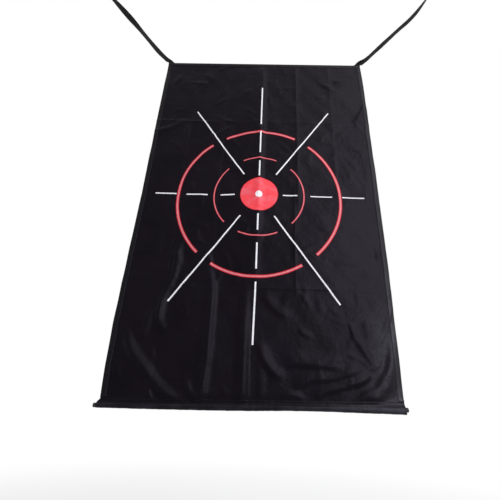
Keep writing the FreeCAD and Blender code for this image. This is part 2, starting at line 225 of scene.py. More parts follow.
def tube_piece(name, places, outline, lengths, body, faces=None):
    """A piece of rings of places, with a flat map in metres (along, around) and a bake map."""
    rings, around = places.shape[:2]
    piece = new_piece(name, places.reshape(-1, 3), faces or tube_faces(rings, around), body)
    girths = polyline_lengths(np.vstack([outline, outline[:1]]))
    total = lengths[-1]
    girth = girths[-1]
    flat = []
    bake = []
    for ring in range(rings - 1):
        for step in range(around):
            for along, turn in ((ring, step), (ring, step + 1), (ring + 1, step + 1), (ring + 1, step)):
                flat.append((lengths[along], girths[turn]))
                bake.append((0.02 + 0.96 * lengths[along] / total, 0.02 + 0.80 * girths[turn] / girth))
    for end in range(2):
        count = len(piece.data.loops) - len(flat) if end else around
        for step in range(count):
            angle = TURN * step / around
            flat.append((total * end, 0.005 * sin(angle)))
            bake.append((0.25 + 0.5 * end + 0.05 * cos(angle), 0.91 + 0.05 * sin(angle)))
    set_map(piece, "Flat", flat)
    set_map(piece, "OFBake", bake)
    return piece


def webbing_outline(width, thickness):
    """Woven webbing across its length: rounded edges, and shallow ribs on both faces."""
    half = (width - thickness) / 2
    share = np.linspace(0, 1, WEBBING_RIBS * 4 + 1)
    rib = RIB_DEPTH * (0.5 + 0.5 * np.cos(TURN * WEBBING_RIBS * share))
    top = np.stack([half * (2 * share - 1), thickness / 2 - rib], axis=1)
    right = arc(thickness / 2, 45, -45, 2) + (half, 0)
    return np.vstack([top, right, top[::-1] * (1, -1), -right])


def sweep(name, path, wide, body, thick=None, width=WEBBING_WIDTH, thickness=WEBBING_THICKNESS):
    """Webbing along a path, with a direction for its width and one for its thickness."""
    wide = np.broadcast_to(np.array(wide, float), path.shape)
    if thick is None:
        thick = unit(np.cross(unit(np.gradient(path, axis=0)), wide))
    thick = np.broadcast_to(np.array(thick, float), path.shape)
    outline = webbing_outline(width, thickness)
    places = (
        path[:, None, :]
        + outline[None, :, 0, None] * wide[:, None, :]
        + outline[None, :, 1, None] * thick[:, None, :]
    )
    return tube_piece(name, places, outline, polyline_lengths(path), body)


# The straps: taut webbing from the cloth's corners to the sewn loops

# Distance along the strap as a share of its length, and how far the webbing has turned there
TWISTS = {
    "left": ((0, 0), (0.055, 22), (0.11, 19), (0.17, 20), (0.24, 24), (0.30, 28), (0.36, 28), (0.42, 25),
             (0.465, 21), (0.51, 12), (0.555, 1), (0.60, -11), (0.69, -32), (0.78, -50), (0.88, -70),
             (1.0, -90)),
    "right": ((0, 0), (0.02, 60), (0.04, 81), (0.08, 82), (0.17, 82), (0.21, 81), (0.25, 78), (0.29, 76),
              (0.33, 77.5), (0.38, 79.5), (0.42, 80), (0.47, 82), (0.55, 81), (0.60, 79), (0.64, 76.5),
              (0.69, 74), (0.80, 73), (1.0, 90)),
}

# Points of the route after the foot: the share of the length, and how far it sags there
SAGS = {
    "left": ((0.07, 0.004), (0.26, 0.0025), (0.70, -0.005), (1.0, 0)),
    "right": ((0.06, 0.0055), (0.20, 0.0065), (0.34, 0.0105), (0.52, 0.0135), (0.66, 0.020), (0.85, 0.014),
              (1.0, 0)),
}


def strap_directions(side):
    """Along a strap to its eye, and square to it on its lower side."""
    along = np.array([side * cos(STRAP_ANGLE), 0.0, sin(STRAP_ANGLE)])
    return along, np.array([side * along[2], 0.0, -side * along[0]])


def build_strap(side_name, side):
    along, across = strap_directions(side)
    start = np.array([side * STRAP_START_X, 0.0, STRAP_START_Z])
    control = [np.array([side * STRAP_FOOT_X, 0.0, STRAP_START_Z])]
    for share, sag in SAGS[side_name]:
        control.append(start + along * (STRAP_LENGTH * share) + across * sag)
    path = resample(route(control), STRAP_SPACING)
    share = np.clip(((path - start) @ along) / STRAP_LENGTH, 0, 1)
    turn = np.radians(smoothed(np.interp(share, *zip(*TWISTS[side_name])), 8)) * side
    wide = across * np.cos(turn)[:, None] + np.array([0.0, 1.0, 0.0]) * np.sin(turn)[:, None]
    # the webbing lies along the cloth's top edge at its foot
    foot_share = np.clip(1 - share / 0.04, 0, 1)[:, None]
    wide = unit(wide * (1 - foot_share) + np.array([side, 0, 0]) * foot_share)
    thick = unit(np.cross(unit(np.gradient(path, axis=0)), wide))
    thick[0] = (0, thick[0][1], 0)
    strap = sweep(f"{side_name}_webbing", path, wide, "straps", unit(thick))
    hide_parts(f"{side_name}_strap")
    return strap, path


def build_loop(side_name, side):
    """The strap's end, turned back round the eye and sewn to itself along the tab."""
    along, across = strap_directions(side)
    eye = np.array([side * EYE_X, 0.0, 0.0])
    throat = sqrt(2) * LOOP_RADIUS
    middle = LOOP_RADIUS + WEBBING_THICKNESS / 2
    tab = np.array([(-(throat + reach), WEBBING_THICKNESS / 2)
                    for reach in (LOOP_TAB, 0.6 * LOOP_TAB, 0.004)])
    places = np.vstack([tab, arc(middle, 135, -135, 24), tab[::-1] * (1, -1)])
    path = resample(route([eye + along * a - across * b for a, b in places]), LOOP_SPACING)
    loop = sweep(f"{side_name}_loop_webbing", path, (0, 1, 0), "straps", thickness=WEBBING_THICKNESS * 0.98)
    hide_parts(f"{side_name}_strap_loop")
    return loop


loops = {}
straps = {}
for side_name, side in SIDES:
    loops[side_name] = build_loop(side_name, side)
    straps[side_name], strap_path = build_strap(side_name, side)


# How the cloth lies: ridges along smooth lines, packing creases and slow waves

# Each fold: how wide its lit and its shaded slope are, then its crest's (across, up, height). The lit
# slope is on the left of the way along the points. Heights are towards the player.
FOLDS = (
    # long folds of the left half
    (26, 17, ((-288, -165, 0), (-288, -215, 5), (-288, -270, 8), (-289, -325, 10), (-299, -365, 11),
              (-310, -390, 11), (-316, -416, 11), (-320, -457, 11), (-319, -486, 10), (-308, -510, 7),
              (-300, -535, 0))),
    (24, 34, ((-166, -285, 0), (-163, -325, 6), (-152, -370, 10), (-149, -410, 11), (-148, -470, 11),
              (-148, -545, 11), (-149, -612, 11), (-152, -664, 10), (-155, -700, 9), (-158, -735, 6))),
    (86, 12, ((-150, -350, 0), (-148, -450, 3), (-148, -600, 4), (-152, -690, 4), (-156, -735, 2))),
    (24, 32, ((-34, -350, 0), (-33, -420, 5), (-30, -565, 11), (-28, -690, 12), (-26, -735, 8))),
    (24, 14, ((18, -600, 0), (23, -640, 2), (25, -680, 3), (25, -725, 2))),
    # the corner fold and the pleats that the sleeve's seam gathers
    (30, 26, ((-444, -485, 0), (-416, -540, 8), (-401, -573, 12), (-381, -600, 14), (-340, -641, 14),
              (-301, -681, 14), (-268, -708, 13), (-234, -730, 10), (-208, -740, 7))),
    (20, 15, ((-328, -668, 0), (-323, -700, 9), (-307, -738, 9))),
    (20, 15, ((-216, -660, 0), (-198, -694, 9), (-182, -713, 10), (-163, -738, 9))),
    (20, 16, ((-362, -155, 0), (-362, -190, 3), (-363, -245, 3), (-364, -275, 0))),
    (20, 16, ((-352, -445, 0), (-355, -475, 5), (-362, -530, 5), (-368, -560, 0))),
    (20, 16, ((-446, -615, 0), (-431, -648, 5), (-414, -690, 0))),
    # short wrinkles of the right half, each a thin shaded line below a gentle rise
    (50, 15, ((95, -626, 0), (118, -620, 6), (140, -617, 8), (180, -621, 8), (220, -623, 7), (262, -625, 5),
              (290, -628, 0))),
    (40, 14, ((130, -692, 0), (151, -678, 6), (189, -664, 7), (232, -662, 7), (267, -655, 6),
              (300, -646, 6), (332, -636, 4), (352, -626, 0))),
    (34, 11, ((196, -722, 0), (209, -709, 4), (230, -697, 6), (262, -690, 6), (296, -680, 6),
              (331, -671, 6), (355, -661, 5), (377, -645, 0))),
    (20, 11, ((360, -732, 0), (384, -715, 5), (406, -706, 0))),
    (34, 13, ((8, -555, 0), (23, -580, 6), (34, -607, 8), (53, -632, 8), (71, -651, 7), (88, -657, 4),
              (102, -658, 0))),
    (34, 10, ((14, -396, 0), (34, -410, 3), (59, -443, 4), (88, -464, 4), (112, -470, 2), (128, -474, 0))),
    (22, 9, ((140, -515, 0), (158, -521, 3), (180, -534, 2), (196, -545, 0))),
    (28, 9, ((316, -480, 0), (322, -505, 3), (331, -536, 4), (350, -566, 4), (372, -600, 3),
             (390, -622, 0))),
    # the swag of the lower right corner and a hump over the sleeve, shaded above and lit below
    (60, 15, ((448, -515, 0), (446, -575, 4), (437, -616, 7), (425, -641, 8), (409, -661, 8),
              (399, -677, 8), (384, -690, 8), (354, -703, 8), (329, -719, 8), (300, -729, 7),
              (268, -732, 4))),
    (24, 13, ((170, -724, 0), (150, -712, 4), (126, -704, 6), (102, -709, 5), (76, -724, 0))),
    # the few folds further up
    (10, 60, ((402, 380, 0), (418, 405, 4), (436, 438, 5), (452, 470, 5), (466, 505, 0))),
    (44, 12, ((425, 655, 0), (392, 648, 4), (352, 640, 4), (328, 636, 0))),
    (26, 16, ((-470, 298, 0), (-440, 316, 3), (-402, 338, 4), (-366, 364, 3), (-340, 386, 0))),
    (22, 18, ((-326, 360, 0), (-326, 330, 4), (-328, 280, 4), (-330, 225, 0))),
    (10, 8, ((440, -212, 0), (440, -235, 3), (440, -258, 0))),
)

# Upright packing creases: place, height, the widths of the left and the right side of each, and from
# where to where up it shows. Most are at sixths of the cloth's width.
SIXTHS = (-313, -157, 0, 157, 313)
UPRIGHT_CREASES = (
    (-313, -1.2, 9, 14, -760, 760), (-157, -2.8, 15, 12, -60, 760), (0, 1.0, 12, 7, -330, 760),
    (157, 2.6, 14, 14, -40, 760), (313, 1.2, 17, 8, -60, 760), (140, 1.8, 5, 22, -385, 20),
    (-157, -1.2, 8, 16, -330, -40),
)
# Level packing creases at quarters of its height: place, height, the widths below and above, and how
# much each shows at places across
LEVEL_CREASES = (
    (380, 2.6, 12, 6, ((-470, 0.8), (-400, 1.0), (-300, 1.0), (-200, 0.4), (150, 0.4), (230, 1.0),
                       (470, 1.0))),
    (2, -1.6, 16, 6, ((-470, 0.3), (60, 0.6), (300, 1.0), (470, 1.0))),
    (-375, 3.0, 5, 16, ((-470, 0.1), (-10, 0.3), (10, 1.0), (250, 1.0), (300, 0.3), (470, 0.3))),
)
CRUMPLES = 170


def smooth_line(points, pieces_each=14):
    """Points of a smooth line through the given ones."""
    points = np.array(points, float)
    padded = np.vstack([2 * points[0] - points[1], points, 2 * points[-1] - points[-2]])
    share = np.linspace(0, 1, pieces_each, endpoint=False)[:, None]
    found = []
    for p0, p1, p2, p3 in zip(padded, padded[1:], padded[2:], padded[3:]):
        found.append(0.5 * (
            2 * p1 + (p2 - p0) * share + (2 * p0 - 5 * p1 + 4 * p2 - p3) * share ** 2
            + (3 * p1 - p0 - 3 * p2 + p3) * share ** 3
        ))
    return np.vstack([*found, points[-1:]])


def crumples():
    """Short faint folds all over, as cloth keeps them from its packing."""
    generator = np.random.default_rng(7)
    found = []
    for _ in range(CRUMPLES):
        middle = (generator.uniform(-450, 455), generator.uniform(-700, 720))
        angle = generator.choice((0, pi / 2)) + generator.normal(0, 0.55)
        reach = generator.uniform(18, 62)
        bend = generator.normal(0, 0.22) * reach
        height = generator.uniform(0.8, 2.2) * (1.6 if middle[0] < -40 else 1.0)
        # a long fold low on the left is pulled taut, with next to nothing across it
        if abs(middle[0] + 135) < 45 and middle[1] < -380:
            height *= 0.15
        step = np.array([cos(angle), sin(angle)]) * reach
        side = np.array([-sin(angle), cos(angle)]) * bend
        points = [(*(middle + step * share + side * rise), height * rise)
                  for share, rise in ((-1, 0), (-0.5, 0.8), (0, 1), (0.5, 0.8), (1, 0))]
        found.append((generator.uniform(10, 26), generator.uniform(9, 13), smooth_line(points, 3)))
    return found


FOLD_LINES = [(lit, dark, smooth_line(points)) for lit, dark, points in FOLDS] + crumples()


def fold_height(lit, dark, line, across, up):
    """How far one fold brings the cloth towards the player, in millimetres."""
    reach = max(lit, dark)
    low = line[:, :2].min(0) - reach
    high = line[:, :2].max(0) + reach
    near = (across > low[0]) & (across < high[0]) & (up > low[1]) & (up < high[1])
    height = np.zeros(len(across))
    if not near.any():
        return height
    begin = line[:-1]
    step = np.diff(line, axis=0)
    away = np.stack([across[near], up[near]], axis=-1)[:, None] - begin[:, :2]
    share = np.clip((away * step[:, :2]).sum(-1) / (step[:, :2] ** 2).sum(-1), 0, 1)
    away = away - share[..., None] * step[:, :2]
    distance = np.hypot(away[..., 0], away[..., 1])
    best = (np.arange(len(away)), distance.argmin(1))
    step = step[best[1]]
    side = step[:, 0] * away[best][:, 1] - step[:, 1] * away[best][:, 0]
    crest = begin[best[1], 2] + share[best] * step[:, 2]
    width = np.where(side > 0, lit, dark)
    height[near] = crest * (0.5 + 0.5 * np.cos(pi * np.clip(distance[best] / width, 0, 1)))
    return height


def slant_wave(across, up, length, angle, shift):
    turn = radians(angle)
    return wave(across * cos(turn) + up * sin(turn), length, shift)


def crease_height(away, height, width_before, width_after):
    return height * np.exp(-np.abs(away) / np.where(away < 0, width_before, width_after))


def drape(across, up):
    """How far places of the cloth lie towards the player. All in millimetres."""
    forward = np.zeros(len(across))
    for fold in FOLD_LINES:
        forward += fold_height(*fold, across, up)
    for place, height, left_width, right_width, begin, finish in UPRIGHT_CREASES:
        shown = step_between(begin - 20, begin + 20, up) * (1 - step_between(finish - 20, finish + 20, up))
        forward += shown * crease_height(across - place, height, left_width, right_width)
    for place, height, low_width, high_width, shares in LEVEL_CREASES:
        shown = np.interp(across, *zip(*shares))
        forward += shown * crease_height(up - place, height, low_width, high_width)
    # the fields between the creases each lean a little, and the lower half is a flat roof
    lower = 1 - step_between(-60, 140, up)
    places = (-470, *SIXTHS, 470)
    forward += lower * np.interp(across, places, (-3.0, -2.4, -0.6, 5.5, 2.4, -1.2, -8.5))
    forward += (1 - lower) * np.interp(across, places, (-0.5, -1.0, -2.4, 1.6, 1.6, 0.0, -3.4))
    forward += np.interp(up, (-750, -375, 0, 375, 750), (0, 1.8, -0.8, 1.6, 0))
    # the middle crease stands forward in the upper half, with a steep strip on each side
    rise = np.interp(up, (-420, -160, 0, 120, 420, 640, 740), (0, 0.45, 0.8, 1, 1, 0.8, 0))
    left_slope = 0.36 * step_between(-27, -3, across) + 0.64 * np.clip(1 + across / 110, 0, 1) ** 1.2
    right_slope = 0.80 * (1 - step_between(0, 24, across)) + 0.20 * np.clip(1 - across / 90, 0, 1)
    forward += 8.5 * rise * np.where(across < 0, left_slope, right_slope)
    # the side edges roll back
    forward -= 1.8 * np.clip((np.abs(across) - 452) / 18, 0, 1.2) ** 2
    # slow waves of cloth that hangs from its corners
    forward += 1.5 * slant_wave(across, up, 520, 20, 0.4) + 1.0 * slant_wave(across, up, 340, -35, 1.9)
    forward += 0.9 * slant_wave(across, up, 150, 65, 0.2) * slant_wave(across, up, 210, -15, 1.1)
    forward += 0.5 * slant_wave(across, up, 93, 8, 2.2) * slant_wave(across, up, 131, 80, 0.7)
    # pulled straight along the top tape and over the rod
    top = (TOP - MIDDLE_Z) / MM
    held = step_between(SLEEVE_UP + 1, SLEEVE_UP + 34, up)
    return forward * held * (1 - step_between(top - 34, top + 2, up))


def sideways(across, up):
    """How far places of the cloth lie to the right of where the flat cloth has them, in millimetres."""
    right = np.clip(across / (HALF / MM), 0, 1) ** 5
    left = np.clip(-across / (HALF / MM), 0, 1)
    at_right = np.interp(up, (-745, -670, -580, -450, -310, -150, 20, 230, 430, 650, 740),
                         (-5.5, -4.0, -2.1, 0.3, 4.5, 6.5, 6.0, 3.6, 3.9, 3.6, 0.5))
    at_left = np.interp(up, (-740, -714, -627, -500, -360, -205, -100, 0),
                        (5.0, 1.4, -3.5, -6.6, -5.2, -3.4, -1.5, 0))
    return right * at_right + left * at_left


def settle(x, z, depth=0.0):
    """Where flat places of the cloth lie as it hangs, at a depth behind its middle, in metres."""
    x = np.asarray(x, float)
    z = np.asarray(z, float)
    across = (x / MM).ravel()
    up = ((z - MIDDLE_Z) / MM).ravel()
    # the bottom edge rises to the right
    level = np.clip((up - SEAM_UP - 4) / 640, 0, 1)
    placed = np.stack([
        across + sideways(across, up),
        -drape(across, up) + np.broadcast_to(depth, x.shape).ravel() / MM,
        up + MIDDLE_Z / MM + across * tan(BOTTOM_TILT) * (1 - level),
    ], axis=-1) * MM
    return placed.reshape(*x.shape, 3)


def on_bottom(along, depth, up):
    """Places along the tilted bottom edge, from the sleeve's middle: along, behind and above it."""
    across, height = np.broadcast_arrays(along / MM, SLEEVE_UP + np.asarray(up, float) / MM)
    flat = across - sideways(across, height)
    forward = drape(flat.ravel(), height.ravel()).reshape(flat.shape) * MM
    return np.stack([
        along * cos(BOTTOM_TILT) - up * sin(BOTTOM_TILT),
        depth - forward,
        SLEEVE_Z + along * sin(BOTTOM_TILT) + up * cos(BOTTOM_TILT),
    ], axis=-1)


# The printed cloth

def grid_lines(low, high, creases):
    """Grid lines from low to high, closer together at the creases."""
    count = int(round((high - low) / CLOTH_SPACING))
    places = list(np.linspace(low, high, count + 1))
    for crease in creases:
        places = [place for place in places if abs(place - crease) > 0.0062]
        places += [crease + offset for offset in (-0.005, -0.0022, 0, 0.0022, 0.005)]
    return np.array(sorted(place for place in places if low - 1e-9 <= place <= high + 1e-9))


def build_cloth():
    """Two sheets and a rim round them. The second material is the back's."""
    columns = grid_lines(-HALF, HALF, [place * MM for place, *_ in UPRIGHT_CREASES])
    rows = grid_lines(CLOTH_BOTTOM, TOP, [MIDDLE_Z + place * MM for place, *_ in LEVEL_CREASES])
    x, z = np.meshgrid(columns, rows)
    count = x.size
    sheets = [settle(x, z, sign * CLOTH_THICKNESS / 2).reshape(-1, 3) for _, sign in FACES]
    number = np.arange(count).reshape(x.shape)
    quads = np.stack([number[:-1, :-1], number[:-1, 1:], number[1:, 1:], number[1:, :-1]], axis=-1)
    front_faces = quads.reshape(-1, 4)
    rim = np.concatenate([number[0], number[1:, -1], number[-1, -2::-1], number[-2:0:-1, 0]])
    after = np.roll(rim, -1)
    rim_faces = np.stack([rim, rim + count, after + count, after], axis=-1)
    faces = np.vstack([front_faces, front_faces[:, ::-1] + count, rim_faces])
    cloth = new_piece("target_cloth", np.vstack(sheets), faces, "target")
    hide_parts("target_panel")
    corners = np.zeros(len(cloth.data.loops), int)
    cloth.data.loops.foreach_get("vertex_index", corners)
    flat = np.stack([x, z - MIDDLE_Z], axis=-1).reshape(-1, 2)
    set_map(cloth, "Flat", flat[corners % count])
    # the bake map has the front on its left, the back on its right and the rim in a strip above that
    share = np.stack([(x + HALF), (z - CLOTH_BOTTOM)], axis=-1).reshape(-1, 2)
    bake = np.zeros((len(corners), 2))
    sides = len(front_faces) * 4
    bake[:sides] = share[corners[:sides]] * 0.64 + (0.01, 0.02)
    bake[sides:2 * sides] = share[corners[sides:2 * sides] - count] * 0.37 + (0.63, 0.02)
    steps = np.arange(len(rim_faces))
    strip_low = np.stack([0.63 + 0.34 * steps / len(steps), np.full(len(steps), 0.60)], axis=-1)
    width = 0.34 / len(steps)
    strip = [strip_low + offset for offset in ((0, 0), (0, 0.02), (width, 0.02), (width, 0))]
    bake[2 * sides:] = np.stack(strip, axis=1).reshape(-1, 2)
    set_map(cloth, "OFBake", bake)
    materials = np.zeros(len(faces), int)
    materials[len(front_faces):2 * len(front_faces)] = 1
    cloth.data.polygons.foreach_set("material_index", materials)
    return cloth


cloth = build_cloth()


# The edge tapes

def tape_outline():
    """Across a folded tape: the distance in from its folded edge, and the depth from the middle."""
    inner = TAPE_DEPTH - TAPE_WALL
    share = np.linspace(0, 1, 9)
    face = np.stack([TAPE_WIDTH * share, TAPE_DEPTH - 0.00055 * step_between(0.74, 1.0, share)], axis=1)
    lining = np.stack([np.linspace(0, TAPE_WIDTH, 6), np.full(6, inner)], axis=1)
    return np.vstack([
        face[::-1] * (1, -1), arc(TAPE_DEPTH, -112.5, -247.5, 6), face,
        lining[::-1], arc(inner, 135, 225, 2) * (0.6, 1), lining * (1, -1),
    ])


def build_tape(name, node, begin, finish, inward):
    """A tape from begin to finish along the cloth's edge. Inward is the way to the cloth's middle."""
    outline = tape_outline()
    begin, direction, length = straight(begin, finish)
    along = np.linspace(0, length, int(round(length / TAPE_SPACING)) + 1)
    line = begin + direction * along[:, None]
    pucker = 0.22 * MM * wave(along, 0.0131) * wave(along, 0.171, 1)
    inner_edge = 0.5 * MM * wave(along, 0.083) * wave(along, 0.31, 2)
    deep = np.clip(outline[:, 0] / TAPE_WIDTH, 0, 1)
    reach = outline[None, :, 0] + inner_edge[:, None] * deep[None, :]
    places = line[:, None, :] + reach[:, :, None] * np.array(inward, float)
    swell = 1 + (pucker / TAPE_DEPTH)[:, None] * (np.abs(outline[:, 1]) > TAPE_DEPTH * 0.9)
    places = settle(places[..., 0], places[..., 2], outline[None, :, 1] * swell)
    piece = tube_piece(name, places, outline, along, "target")
    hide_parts(node)
    return piece


side_top = TOP - TAPE_WIDTH
tapes = [
    build_tape("top_edge_tape", "top_binding", (HALF, 0, TOP), (-HALF, 0, TOP), (0, 0, -1)),
    build_tape("left_edge_tape", "left_binding", (-HALF, 0, side_top), (-HALF, 0, SEAM_TOP), (1, 0, 0)),
    build_tape("right_edge_tape", "right_binding", (HALF, 0, SEAM_TOP), (HALF, 0, side_top), (-1, 0, 0)),
]


# The rod's sleeve

def sleeve_outline():
    """Across the sleeve, as (front to back, up) from its middle: the outer face, then the inner."""
    def face(radius, tab_y):
        flap = np.linspace(SEAM_TOP - SLEEVE_Z, sqrt(2) * radius - tab_y, 5)
        front = np.stack([np.full(5, -tab_y), flap], axis=1)
        return np.vstack([front, arc(radius, 135, 405, 28), front[::-1] * (-1, 1)])
    outer = face(SLEEVE_RADIUS, SEAM_GAP + SLEEVE_WALL)
    inner = face(SLEEVE_RADIUS - SLEEVE_WALL, SEAM_GAP)
    return np.vstack([outer, inner[::-1]]), len(outer)


def build_sleeve():
    outline, outer_count = sleeve_outline()
    around = len(outline)
    length = SLEEVE_SPAN[1] - SLEEVE_SPAN[0]
    rings = int(round(length / SLEEVE_SPACING)) + 1
    along = np.linspace(0, length, rings)
    angle = np.arctan2(outline[:, 1], outline[:, 0])
    radius = np.hypot(outline[:, 0], outline[:, 1])
    round_part = step_between(-9.0 * MM, 2 * MM, -outline[:, 1])
    a = along[:, None] / MM
    ripple = (
        0.22 * wave(a, 37, 1.2 * angle + 0.5) * wave(a, 151, 1)
        + 0.16 * wave(a, 19, -2 * angle) * wave(a, 233)
        + 0.12 * wave(a, 71, 3 * angle + 2)
    ) * MM
    stretch = 1 + ripple * round_part / radius
    start = np.broadcast_to((SLEEVE_SPAN[0] + along)[:, None], stretch.shape)
    # the seam allowance ends at the cloth's side, and the slack tube hangs below the rod in places
    inside_cloth = step_between(0, 11 * MM, along)[:, None]
    up = np.minimum(outline[None, :, 1], 0.0104 + 0.012 * inside_cloth) * stretch
    slack = np.interp(start[:, 0] / MM, (-474, -440, -330, -120, 10, 110, 230, 350, 440, 470),
                      (0, 0, 1.5, 2.6, 2.1, 0.1, 0.6, 3.4, 4.6, 6.0)) * MM
    up = up - smoothed(slack, 40)[:, None] * step_between(9 * MM, -3 * MM, outline[:, 1])
    places = on_bottom(start, outline[:, 0] * stretch, up)
    # at each end the wall is closed and the bore is open
    faces = tube_faces(rings, around, closed_ends=False)
    last = (rings - 1) * around
    for outside in range(outer_count - 1):
        inner = around - 1 - outside
        wall = (outside, outside + 1, inner - 1, inner)
        faces.append(wall[::-1])
        faces.append(tuple(last + corner for corner in wall))
    piece = tube_piece("sleeve_cloth", places, outline, along, "target", faces)
    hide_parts("rod_sleeve")
    return piece, polyline_lengths(outline)[outer_count - 1]


sleeve, sleeve_girth = build_sleeve()


# The straps' sewn ends on the back, and the webbing that goes on over the top edge

def tail_place(side_name):
    """A packed tail's middle across and in depth, and how low and how high it reaches."""
    low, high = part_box(f"{side_name}_strap_tail")
    return (low.x + high.x) / 2, (low.y + high.y) / 2, low.z, high.z


def build_tail(side_name):
    x, y, low, high = tail_place(side_name)
    path = resample(np.array([(x, y, low), (x, y, high)]), 0.002)
    path[:, 1] = settle(path[:, 0], path[:, 2], y)[:, 1]
    tail = sweep(f"{side_name}_tail_webbing", path, (1, 0, 0), "target", (0, -1, 0))
    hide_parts(f"{side_name}_strap_tail")
    return tail


def build_bridge(side_name):
    """The short stretch of webbing between the sewn end and the strap, which bends on the real target as the
    cloth swings. Here it rides on no body.
    """
    x, y, _, high = tail_place(side_name)
    points = [
        (x, y, high - 0.0004), (x, y, high + 0.0015), (x, y, TOP + 0.0006), (x, 0.0012, TOP + 0.0022),
        (x, 0.0, STRAP_START_Z + 0.0012),
    ]
    bridge = sweep(
        f"{side_name}_corner_webbing", resample(route(points), 0.0006), (1, 0, 0), None,
        width=WEBBING_WIDTH * 0.99, thickness=WEBBING_THICKNESS * 0.96,
    )
    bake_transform(bridge)
    return bridge


tails = [build_tail(side_name) for side_name, _ in SIDES]
bridges = [build_bridge(side_name) for side_name, _ in SIDES]


# Stitches

STITCH_LENGTH = 0.0030
STITCH_PITCH = 0.0037
THREAD_RADIUS = 0.00028
STITCH_IN = TAPE_WIDTH - 0.0028
BOX_INSET = 0.004


def stitch_shape():
    """One stitch, a thread that rises out of the cloth and dips back, along +X with +Z outward."""
    half = np.array([(-0.5, -0.5, 0.35), (-0.42, 0.25, 0.8), (-0.2, 0.75, 1.0)])
    rings = []
    for share, height, radius in np.vstack([half, half[::-1] * (-1, 1, 1)]):
        around = THREAD_RADIUS * (arc(radius, 0, 300, 5) + (0, height))
        rings.append(np.column_stack([np.full(6, share * STITCH_LENGTH), around]))
    return np.vstack(rings), tube_faces(6, 6)


STITCH_POINTS, STITCH_FACES = stitch_shape()


def stitch_places(begin, finish):
    """Where the stitches of a straight seam lie and which way they run."""
    begin, direction, length = straight(begin, finish)
    count = max(1, int(length / STITCH_PITCH))
    return [(begin + direction * (length * (step + 0.5) / count), direction) for step in range(count)]


def build_stitches(name, places, outward, body):
    """One piece with all of a seam's stitches. Places are (middle, direction) pairs."""
    vertices = []
    faces = []
    outward = np.array(outward, float)
    generator = np.random.default_rng(len(places))
    for middle, direction in places:
        lean = generator.uniform(-0.05, 0.05)
        along = direction * cos(lean) + np.cross(outward, direction) * sin(lean)
        beside = np.cross(outward, along)
        base = len(vertices)
        vertices.extend(
            middle + STITCH_POINTS[:, :1] * along + STITCH_POINTS[:, 1:2] * beside
            + STITCH_POINTS[:, 2:] * outward
        )
        faces.extend(tuple(base + corner for corner in face) for face in STITCH_FACES)
    return new_piece(name, vertices, faces, body)


def on_drape(places, depth):
    """Moves seam places onto the cloth's shape, a depth behind its middle."""
    middles = np.array([middle for middle, _ in places])
    moved = settle(middles[:, 0], middles[:, 2], depth)
    return [(middle, direction) for middle, (_, direction) in zip(moved, places)]


def box_seam(low_a, high_a, low_b, high_b):
    """A box of stitches with a cross in it, as pairs of ends on a flat patch."""
    corners = [(low_a, low_b), (high_a, low_b), (high_a, high_b), (low_a, high_b)]
    pairs = [(corners[step], corners[(step + 1) % 4]) for step in range(4)]
    return pairs + [(corners[0], corners[2]), (corners[1], corners[3])]


stitches = []
seams = {
    "top": ((-HALF + 0.004, 0, TOP - STITCH_IN), (HALF - 0.004, 0, TOP - STITCH_IN)),
    "left": ((-HALF + STITCH_IN, 0, side_top), (-HALF + STITCH_IN, 0, SEAM_TOP + 0.001)),
    "right": ((HALF - STITCH_IN, 0, SEAM_TOP + 0.001), (HALF - STITCH_IN, 0, side_top)),
}
for seam_name, ends in seams.items():
    places = stitch_places(*ends)
    for face_name, sign in FACES:
        stitches.append(build_stitches(
            f"{seam_name}_{face_name}_stitches", on_drape(places, sign * TAPE_DEPTH), (0, sign, 0), "target",
        ))
places = stitch_places((SLEEVE_SPAN[0] + 0.013, 0, 0), (SLEEVE_SPAN[1] - 0.002, 0, 0))
alongs = np.array([middle[0] for middle, _ in places])
for face_name, sign in FACES:
    middles = on_bottom(alongs, sign * (SEAM_GAP + SLEEVE_WALL), SEAM_TOP - SLEEVE_Z - 0.0025)
    directions = unit(np.gradient(middles, axis=0))
    stitches.append(build_stitches(
        f"sleeve_{face_name}_stitches", list(zip(middles, directions)), (0, sign, 0), "target",
    ))

tail_stitches = []
loop_stitches = []
for side_name, side in SIDES:
    low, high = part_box(f"{side_name}_strap_tail")
    places = []
    for (x0, z0), (x1, z1) in box_seam(
            low.x + BOX_INSET, high.x - BOX_INSET, low.z + BOX_INSET, high.z - BOX_INSET):
        places += stitch_places((x0, 0, z0), (x1, 0, z1))
    for seam_name, depth, sign in (("tail", high.y, 1), ("corner", -TAPE_DEPTH, -1)):
        tail_stitches.append(build_stitches(
            f"{side_name}_{seam_name}_stitches", on_drape(places, depth), (0, sign, 0), "target"))
    along, across = strap_directions(side)
    tab_start = -(sqrt(2) * LOOP_RADIUS + LOOP_TAB)
    for face_name, outward in (("upper", -across), ("lower", across)):
        offset = np.array([side * EYE_X, 0.0, 0.0]) + outward * WEBBING_THICKNESS
        places = []
        for (a0, y0), (a1, y1) in box_seam(tab_start + BOX_INSET, tab_start + 0.034, -0.011, 0.011):
            places += stitch_places(offset + along * a0 + (0, y0, 0), offset + along * a1 + (0, y1, 0))
        loop_stitches.append(build_stitches(
            f"{side_name}_loop_{face_name}_stitches", places, outward, "straps"))


tapes + tails + tail_stitches + stitches


# Node trees

